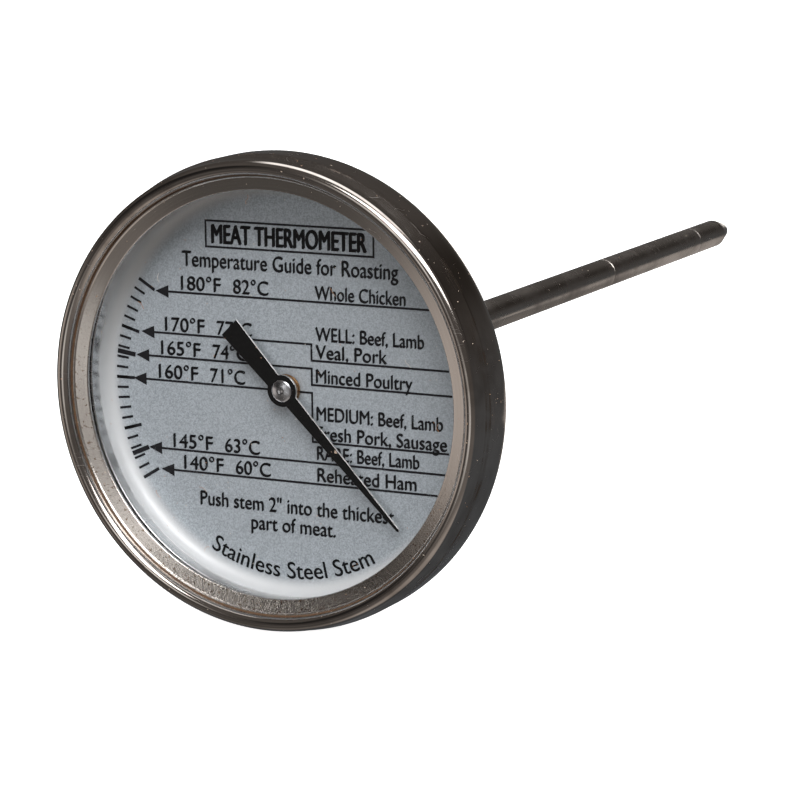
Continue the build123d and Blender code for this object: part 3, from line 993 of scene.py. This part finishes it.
def pointer_piece():
    """Half width at x: the largest of the arm, narrowing from the neck to a blunt tip, the hub,
    sqrt(R^2 - x^2), and the tail, growing to its end.
    """
    along = np.concatenate([
        np.linspace(TAIL_END, -HUB_R, 30, endpoint=False),
        -HUB_R * np.cos(np.linspace(0, np.pi, 60)),
        np.linspace(HUB_R, ARM_TIP - 2 * TIP_HALF, 50)[1:],
        ARM_TIP - 2 * TIP_HALF * np.cos(np.linspace(0, np.pi / 2, 10))[1:],
    ])
    arm = np.where(along > 0, NECK_HALF + (TIP_HALF - NECK_HALF) * along / ARM_TIP, 0)
    nose = np.sqrt(np.clip(1 - np.clip((along - ARM_TIP) / (2 * TIP_HALF) + 1, 0, 1) ** 2, 0, 1))
    arm = arm * np.maximum(nose, 0.2)
    tail = np.where(along < 0, NECK_HALF + (TAIL_HALF - NECK_HALF) * along / TAIL_END, 0)
    hub = np.sqrt(np.clip(HUB_R**2 - along**2, 0, None))
    half = np.maximum(np.maximum(np.maximum(arm, tail), hub), 0.03)
    bevel = np.minimum(BEVEL, half * 0.45)
    back = POINTER_BACK - POINTER_Y
    inset = np.array([2.5, 1.0, 0.0, 0.0, 1.0])
    depth = np.array([0.0, 0.0, BEVEL, back - BEVEL, back])
    inset, depth = np.concatenate([inset, inset[::-1]]), np.concatenate([depth, depth[::-1]])
    sign = np.repeat([1.0, -1.0], 5)
    bare = np.array([0, 0, 1, 1, 0, 0, 1, 1, 0, 0], float)
    across = sign * np.maximum(half[:, None] - bevel[:, None] * inset, half[:, None] * 0.1)
    turn = math.radians(POINTER_DEG)
    x = along[:, None] * math.cos(turn) - across * math.sin(turn)
    z = along[:, None] * math.sin(turn) + across * math.cos(turn)
    y = np.broadcast_to(POINTER_Y + depth, across.shape)
    verts = np.stack([x, y, z], axis=-1).reshape(-1, 3)
    rows, ring = across.shape
    i = np.arange(rows - 1)[:, None] * ring
    j = np.arange(ring)[None, :]
    k = (j + 1) % ring
    corners = np.broadcast_arrays(i + j, i + k, i + ring + k, i + ring + j)
    quads = np.stack(corners, axis=-1).reshape(-1, 4)
    ends = np.array([np.arange(ring)[::-1], (rows - 1) * ring + np.arange(ring)])
    piece = mesh_object("pointer_arm", verts, quads, ends)
    value = piece.data.attributes.new("bare_edge", "FLOAT", "POINT")
    value.data.foreach_set("value", np.tile(bare, rows).astype(np.float32))
    return piece


place(pointer_piece(), "movement", "pointer_black", PAINT, "pointer")

# %% [markdown]
# Under the pointer sits a turned brass bush in two steps, and on top of it a small bright cap with a
# dimple, where the spindle's end is staked.

# %% The bush and the cap
BUSH_END = DIAL_Y - 0.1
CAP_Y = POINTER_Y - 0.36
BUSH_R, WAIST_R, BUSH_BORE_R = 1.6, 1.25, 0.41
WAIST_FRONT, WAIST_BACK = POINTER_BACK + 0.42, POINTER_BACK + 0.58
bush_outline = loop(
    [(BUSH_BORE_R, POINTER_BACK), (BUSH_R, POINTER_BACK), (BUSH_R, WAIST_FRONT), (WAIST_R, WAIST_FRONT),
     (WAIST_R, WAIST_BACK), (BUSH_R, WAIST_BACK), (BUSH_R, BUSH_END), (BUSH_BORE_R, BUSH_END)],
    [0.02, 0.06, 0.06, 0.03, 0.03, 0.06, 0.06, 0.02],
    step=0.2, bend=5,
)
place(turned("pointer_hub", bush_outline, 160), "movement", "bush_brass", BRASS, "pointer_bush")

DOME_R, CAP_R, DIMPLE_R = 2.6, 1.15, 0.2
dome_angle = np.linspace(0, math.asin(0.95 / DOME_R), 14)
dome = np.column_stack([DOME_R * np.sin(dome_angle), CAP_Y + DOME_R * (1 - np.cos(dome_angle))])
dome[:, 1] += 0.12 * np.exp(-((dome[:, 0] / DIMPLE_R) ** 2))
rim_y = dome[-1, 1] + 0.09
cap_outline = [*dome, (1.08, rim_y - 0.04), (CAP_R, rim_y + 0.03), (CAP_R, POINTER_Y), (0, POINTER_Y)]
place(turned("hub_cap", cap_outline, 160), "movement", "cap_metal", CAP_METAL, "pointer_cap")

# %% [markdown]
# The stem is a ground tube with one fine ring round it, which marks how deep it goes into the meat,
# and a solid pointed plug in its end. Both are turned, with rows close enough to bend the highlight
# at the mark, the seam and the nose.

# %% The stem and its tip
MARK_Y = TIP_Y - 42.8
BORE_R, SPIGOT_R = 1.42, 1.62
STEM_AROUND = 128
neck_end_y, _, _ = reach("stem_tube")
stem_outline = loop(
    [(BORE_R, neck_end_y), (SPIGOT_R, neck_end_y), (SPIGOT_R, 0), (STEM_R, 0), (STEM_R, MARK_Y - 0.11),
     (STEM_R - 0.07, MARK_Y - 0.04), (STEM_R - 0.07, MARK_Y + 0.04), (STEM_R, MARK_Y + 0.11),
     (STEM_R, STEM_SEAM_Y), (BORE_R, STEM_SEAM_Y)],
    [0.03, 0.03, 0, 0.05, 0.02, 0, 0, 0.02, 0.05, 0],
    step=2.0, bend=4,
)
place(turned("stem", stem_outline, STEM_AROUND), "probe", "stem_steel", STEM_STEEL, "stem_tube")

NOSE_R = 1.1
CONE = math.radians(13.5)
plug_y, _, _ = reach("tip_plug")
nose_y = TIP_Y - NOSE_R
cone_y = nose_y + NOSE_R * math.sin(CONE) - (STEM_R - NOSE_R * math.cos(CONE)) / math.tan(CONE)
nose_angles = np.linspace(CONE, math.pi / 2, 14)[:-1]
nose = [(NOSE_R * math.cos(a), nose_y + NOSE_R * math.sin(a)) for a in nose_angles]
tip_outline = rounded(
    [(0, plug_y), (BORE_R, plug_y), (BORE_R, STEM_SEAM_Y), (STEM_R - 0.07, STEM_SEAM_Y),
     (STEM_R, STEM_SEAM_Y + 0.07), (STEM_R, cone_y), *nose, (0, TIP_Y)],
    [0.05, 0, 0, 0.03, 0.6] + [0] * len(nose),
    step=0.6, bend=6,
)
place(turned("stem_tip", tip_outline, STEM_AROUND), "probe", "stem_steel", STEM_STEEL, "tip_plug")

# %% [markdown]
# Behind the case the stem comes out of a small hexagonal nut. A turned outline is capped by the
# hexagon: at each angle the radius is the smaller of the two, which is how a real nut is made, turned
# first and then milled.

# %% The nut and its washer
def reshape(piece, change):
    """Move a piece's vertices as one array of places, given with their angles round the axis."""
    flat = np.zeros(len(piece.data.vertices) * 3)
    piece.data.vertices.foreach_get("co", flat)
    places = flat.reshape(-1, 3)
    change(places, np.arctan2(places[:, 2], places[:, 0]))
    piece.data.vertices.foreach_set("co", flat)
    piece.data.update()
    return piece


def milled(places, angle):
    """Cap the radius at a hexagon's, flat_r / cos(the angle from the middle of the nearest flat)."""
    flat_limit = FLAT_R * MM / np.cos((angle + math.pi / 6) % (math.pi / 3) - math.pi / 6)
    radius = np.hypot(places[:, 0], places[:, 2])
    places[:, [0, 2]] *= (np.minimum(radius, flat_limit) / radius)[:, None]


FLAT_R = 3.97
CORNER_R = FLAT_R / math.cos(math.pi / 6)
NECK_R = 3.0
NUT_BACK = -3.5
nut_outline = loop(
    [(SPIGOT_R, neck_end_y), (NECK_R, neck_end_y), (NECK_R, NUT_BACK), (FLAT_R, NUT_BACK),
     (CORNER_R, NUT_BACK + 0.35), (CORNER_R, -0.35), (FLAT_R, 0), (SPIGOT_R, 0)],
    [0.05, 0.1, 0, 0.1, 0.05, 0.05, 0.1, 0.15],
    step=0.3, bend=5,
)
nut = reshape(turned("hex_nut", nut_outline, 720), milled)
place(nut, "probe", "nut_steel", NUT_STEEL, "calibration_nut")

washer_y, _, _ = reach("friction_washer")
WASHER_R = 5.4
washer_outline = loop(
    [(NECK_R, washer_y), (WASHER_R, washer_y), (WASHER_R, NUT_BACK), (NECK_R, NUT_BACK)],
    [0.05, 0.12, 0.12, 0.05],
    step=0.4,
)
washer = turned("spring_washer", washer_outline, 180)
place(washer, "probe", "spring_steel", SPRING_STEEL, "friction_washer")

# %% [markdown]
# The working parts sealed inside stay as the CAD made them. They only show when someone takes the
# model apart, but each still gets its own finish.

# %% Finishes for the works inside
inside = {
    "lens_gasket": GASKET_RUBBER,
    "dial_backing_ring": RING_STEEL,
    "retaining_ring": SPRING_STEEL,
    "spindle": SPRING_STEEL,
    "upper_bearing": BRASS,
    "middle_guide": BRASS,
    "lower_guide": BRASS,
    "thrust_collar": BRASS,
    "coil_carrier": BRASS,
    "coil_anchor": NUT_STEEL,
    "bimetal_coil": BIMETAL,
}
for name, metal in inside.items():
    nodes[name].data.materials.clear()
    nodes[name].data.materials.append(metal)
print(f"{len(inside)} CAD nodes finished")

# %% [markdown]
# Years in a kitchen leave brown grease in the narrow gap between the bezel's lip and the bead. It is
# a thin uneven ring: the radius and height of its top wander with the angle.

# %% Dirt in the crevice
def dirt_finish():
    """Dry brown grease, from dark umber to rust, grainy and dull."""
    made, tree, shader, place = finish("crevice_dirt", roughness=0.8)
    grain = noise(tree, place, 2400.0, 3.0, 0.6)
    colour = mix_colour(tree, grain, (0.020, 0.012, 0.008), (0.16, 0.08, 0.035))
    wire(tree, shader, Base_Color=colour)
    wire(tree, shader, Roughness=times(tree, grain, 0.3, 0.55))
    wire(tree, shader, Normal=bump(tree, grain, 0.00003))
    return made


def caked(places, angle):
    """Raise or lower the ring's top by a sum of three sines of the angle."""
    wander = 0.02 * np.sin(7 * angle) + 0.02 * np.sin(23 * angle + 1) + 0.015 * np.sin(61 * angle + 2)
    top = places[:, 1] < (LIP_Y - 0.03) * MM
    places[:, 1] -= np.where(top, wander * MM, 0)


crevice_rise = [(22.84, 0.01), (22.90, 0.05), (22.96, 0.11), (22.99, -0.02)]
crevice_outline = [(radius, LIP_Y - rise) for radius, rise in crevice_rise]
crevice = reshape(turned("crevice_dirt", crevice_outline, 720), caked)
place(crevice, "head", "case_steel", dirt_finish())

# %% [markdown]
# The window has gathered a little dust and a few short fibres, rusty or pale. Each speck is a tiny
# flat diamond and each fibre a thin curved band, scattered with a fixed seed so that they never move.

# %% Dust and lint on the window
def dust_finish():
    """Dry dust whose colour runs from rust to pale lint with the place."""
    made, tree, shader, place = finish("window_dust", roughness=0.9)
    shade = step_up(tree, noise(tree, place, 350.0, 0.0), 0.42, 0.58)
    wire(tree, shader, Base_Color=mix_colour(tree, shade, (0.42, 0.20, 0.09), (0.66, 0.60, 0.54)))
    grain = noise(tree, place, 20000.0, 1.0)
    wire(tree, shader, Normal=bump(tree, grain, 0.00001))
    return made


def on_window(shape):
    """Move a solid from the dial's plane to the window's front."""
    verts, faces = shape
    return verts + [0, LENS_FRONT - 0.012 - DIAL_Y, 0], faces


SPECKS, FIBRES = 110, 9
SHOWN_R = 20.9
scatter = np.random.default_rng(7)
drawn = []
for _ in range(SPECKS):
    x, z = scatter.uniform(-20.5, 20.5, 2)
    long, wide = scatter.uniform(0.03, 0.09), scatter.uniform(0.04, 0.09)
    turn = scatter.uniform(0, math.pi)
    if math.hypot(x, z) < SHOWN_R:
        reach_x, reach_z = long * math.cos(turn), long * math.sin(turn)
        ends = [(x - reach_x, z - reach_z), (x, z), (x + reach_x, z + reach_z)]
        drawn.append(on_window(band(ends, [0.02, wide, 0.02])))
for _ in range(FIBRES):
    radius_at, angle_at = scatter.uniform(8, 20.5), scatter.uniform(0, 2 * math.pi)
    steps = np.cumsum(scatter.normal(0, 0.35, 9)) + scatter.uniform(0, 2 * math.pi)
    path = np.cumsum(np.column_stack([np.cos(steps), np.sin(steps)]) * 0.13, axis=0)
    start = [radius_at * math.cos(angle_at), radius_at * math.sin(angle_at)]
    drawn.append(on_window(band(path + start, 0.03)))
printed("window_dust", drawn, "window_glass", dust_finish())

# %% [markdown]
# The studio: a pale floor just under the case, and light that the metal can reflect. Polished steel
# shows its surroundings, so the room is a dark warm grey with a few soft boxes in it, placed where
# the highlights fall. The camera itself sees plain white behind the object. Directions are given as
# seen from the object: an azimuth from the front towards the right, and a height above the horizon.

# %% Helpers: directions and soft boxes
def toward(azimuth, elevation):
    """The unit vector of a direction in degrees: azimuth 0 is the front, 90 is the right."""
    a, e = math.radians(azimuth), math.radians(elevation)
    return np.array([math.sin(a) * math.cos(e), -math.cos(a) * math.cos(e), math.sin(e)])


def soft_box(tree, direction, azimuth, elevation, width, height, blur, turn):
    """1 inside a rectangle in the sky, 0 outside. Sizes are tangents of its half angles.

    A direction d meets the box's plane at (d . right, d . up) / (d . centre).
    """
    centre = toward(azimuth, elevation)
    right = np.cross([0, 0, 1], centre)
    right /= np.linalg.norm(right)
    up = np.cross(centre, right)
    c, s = math.cos(math.radians(turn)), math.sin(math.radians(turn))
    right, up = c * right + s * up, c * up - s * right
    dots = [
        add(tree, "VectorMath", direction, tuple(axis), operation="DOT_PRODUCT").outputs["Value"]
        for axis in (centre, right, up)
    ]
    facing = calc(tree, "MAXIMUM", dots[0], 1e-3)
    inside_box = None
    for dot, half in zip(dots[1:], (width, height)):
        off = calc(tree, "ABSOLUTE", calc(tree, "DIVIDE", dot, facing))
        part = step_up(tree, off, half - blur, half + blur, 1.0, 0.0)
        inside_box = part if inside_box is None else times(tree, inside_box, part)
    return times(tree, inside_box, calc(tree, "GREATER_THAN", dots[0], 0.02))


print("the camera is towards", to_camera.round(2))

# %% [markdown]
# Each facet of the steel mirrors one direction, so each soft box, bright or dark, belongs to one part
# of the object, named beside it. Where two overlap, the later one wins.

# %% The room
def studio_world():
    """A dark warm room with soft boxes for every ray but the camera's, which sees white."""
    world = bpy.data.worlds.new("studio")
    bpy.context.scene.world = world
    world.use_nodes = True
    tree = world.node_tree
    tree.nodes.clear()
    direction = tree.nodes.new("ShaderNodeTexCoord").outputs["Generated"]
    height = add(tree, "SeparateXYZ", direction).outputs[2]
    front = add(tree, "SeparateXYZ", direction).outputs[1]
    ahead_share, back_share = step_up(tree, height, -0.7, 0.2), step_up(tree, height, -0.5, 0.5)
    ahead = mix_colour(tree, ahead_share, (0.20, 0.183, 0.172), (0.105, 0.096, 0.090))
    back = mix_colour(tree, back_share, (0.085, 0.090, 0.096), (0.078, 0.071, 0.066))
    room = mix_colour(tree, step_up(tree, front, -0.45, 0.10), ahead, back)
    # azimuth, elevation, half width, half height, blur, turn, colour
    boxes = [
        (152, 24, 0.30, 0.24, 0.16, 10, (0.026, 0.022, 0.019)),  # the wall's upper right, the stem
        (-37, -38, 0.30, 0.24, 0.14, 0, (0.085, 0.079, 0.074)),  # the flange's top
        (-64, -10, 0.24, 0.24, 0.14, 0, (0.55, 0.50, 0.465)),  # the flange's right
        (4, -12, 0.20, 0.14, 0.12, 0, (0.85, 0.84, 0.82)),  # the flange's left
        (-46, 14, 0.34, 0.24, 0.10, 0, (0.020, 0.019, 0.018)),  # the flange's lower right
        (-29, -11, 0.22, 0.17, 0.12, 0, (0.05, 0.047, 0.045)),  # the window, so that it stays clear
        (-9, 11, 0.13, 0.12, 0.12, 0, (2.1, 2.08, 2.05)),  # the flange's lower left
        (-168, 2, 0.08, 0.06, 0.02, 0, (2.2, 2.1, 2.0)),  # a glint on the case's back corner
        (38, 46, 0.55, 0.26, 0.05, 0, (6.0, 6.0, 6.0)),  # the long streak on the bead
        (45, -66, 0.5, 0.4, 0.2, 0, (0.46, 0.42, 0.39)),  # the bead's lower right
        (180, 75, 0.5, 0.4, 0.10, 0, (2.0, 2.0, 2.0)),  # the top of the wall
    ]
    light = room
    for azimuth, elevation, width, tall, blur, turn, colour in boxes:
        mask = soft_box(tree, direction, azimuth, elevation, width, tall, blur, turn)
        light = mix_colour(tree, mask, light, colour)
    seen = tree.nodes.new("ShaderNodeLightPath").outputs["Is Camera Ray"]
    dim = add(tree, "Background", light, 1.0).outputs[0]
    white = add(tree, "Background", (1, 1, 1), 1.0).outputs[0]
    output = tree.nodes.new("ShaderNodeOutputWorld")
    tree.links.new(add(tree, "MixShader", seen, dim, white).outputs[0], output.inputs["Surface"])


studio_world()
print("the room is lit")

# %% [markdown]
# Enamel and ink need light that polished steel doesn't show: one broad lamp in front and a stronger
# one above, which brightens the lower wall of the pan.

# %% The lamps
def lamp(name, azimuth, elevation, distance, size, watts):
    """A round area light that faces the dial. Polished metal doesn't reflect it."""
    data = bpy.data.lights.new(name, "AREA")
    data.shape, data.size, data.energy = "DISK", size, watts
    light = in_scene(name, data)
    light.location = toward(azimuth, elevation) * distance
    light.rotation_euler = (math.pi / 2 - math.radians(elevation), 0, math.radians(azimuth))
    light.visible_glossy = False
    light.visible_camera = False


lamp("front_lamp", -8, 12, 0.6, 0.30, 0.65)
lamp("top_lamp", 30, 54, 0.45, 0.30, 0.76)
bpy.context.scene.view_settings.view_transform = "Standard"
print("lamps:", [light.name for light in bpy.data.lights])

# %% [markdown]
# The lower half of the stem mirrors what lies far behind and below it. Two glowing cards there, which
# only polished metal sees, give it its soft brown sheen. The floor is nearly white whatever the
# light, so that only a faint shadow shows on it.

# %% The cards and the floor
def level(name, low, high, z):
    """A level rectangle between two corners (x, y), in millimetres."""
    (x0, y0), (x1, y1) = low, high
    corners = np.array([(x0, y0, z), (x1, y0, z), (x1, y1, z), (x0, y1, z)], float) * MM
    mesh = bpy.data.meshes.new(name)
    mesh.from_pydata(corners.tolist(), [], [(0, 1, 2, 3)])
    return in_scene(name, mesh)


CARD_Z = -60


def card(name, low, high, colour):
    """A level glowing card, low behind the object."""
    piece = level(name, low, high, CARD_Z)
    made, tree, _, _ = finish(name)
    glow = add(tree, "Emission", colour, 1.0).outputs[0]
    tree.links.new(glow, tree.nodes["Material Output"].inputs["Surface"])
    piece.data.materials.append(made)
    piece.visible_camera = piece.visible_diffuse = piece.visible_shadow = False


def floor_piece():
    """A pale floor, 3 m to each side, that no other surface mirrors."""
    floor = level("floor", (-3000, -3000), (3000, 3000), -(CASE_R + 0.05))
    made, tree, shader, _ = finish("floor", roughness=0.9, Base_Color=(0.8, 0.8, 0.8))
    glow = add(tree, "Emission", (1, 1, 1), 0.97).outputs[0]
    both = add(tree, "AddShader", shader.outputs[0], glow).outputs[0]
    tree.links.new(both, tree.nodes["Material Output"].inputs["Surface"])
    floor.data.materials.append(made)
    floor.visible_glossy = False
    floor.visible_diffuse = False


floor_piece()
card("stem_card", (-60, 222), (115, 420), (0.42, 0.385, 0.36))
card("stem_card_near", (-60, 150), (50, 222), (0.19, 0.174, 0.162))
print("studio ready")
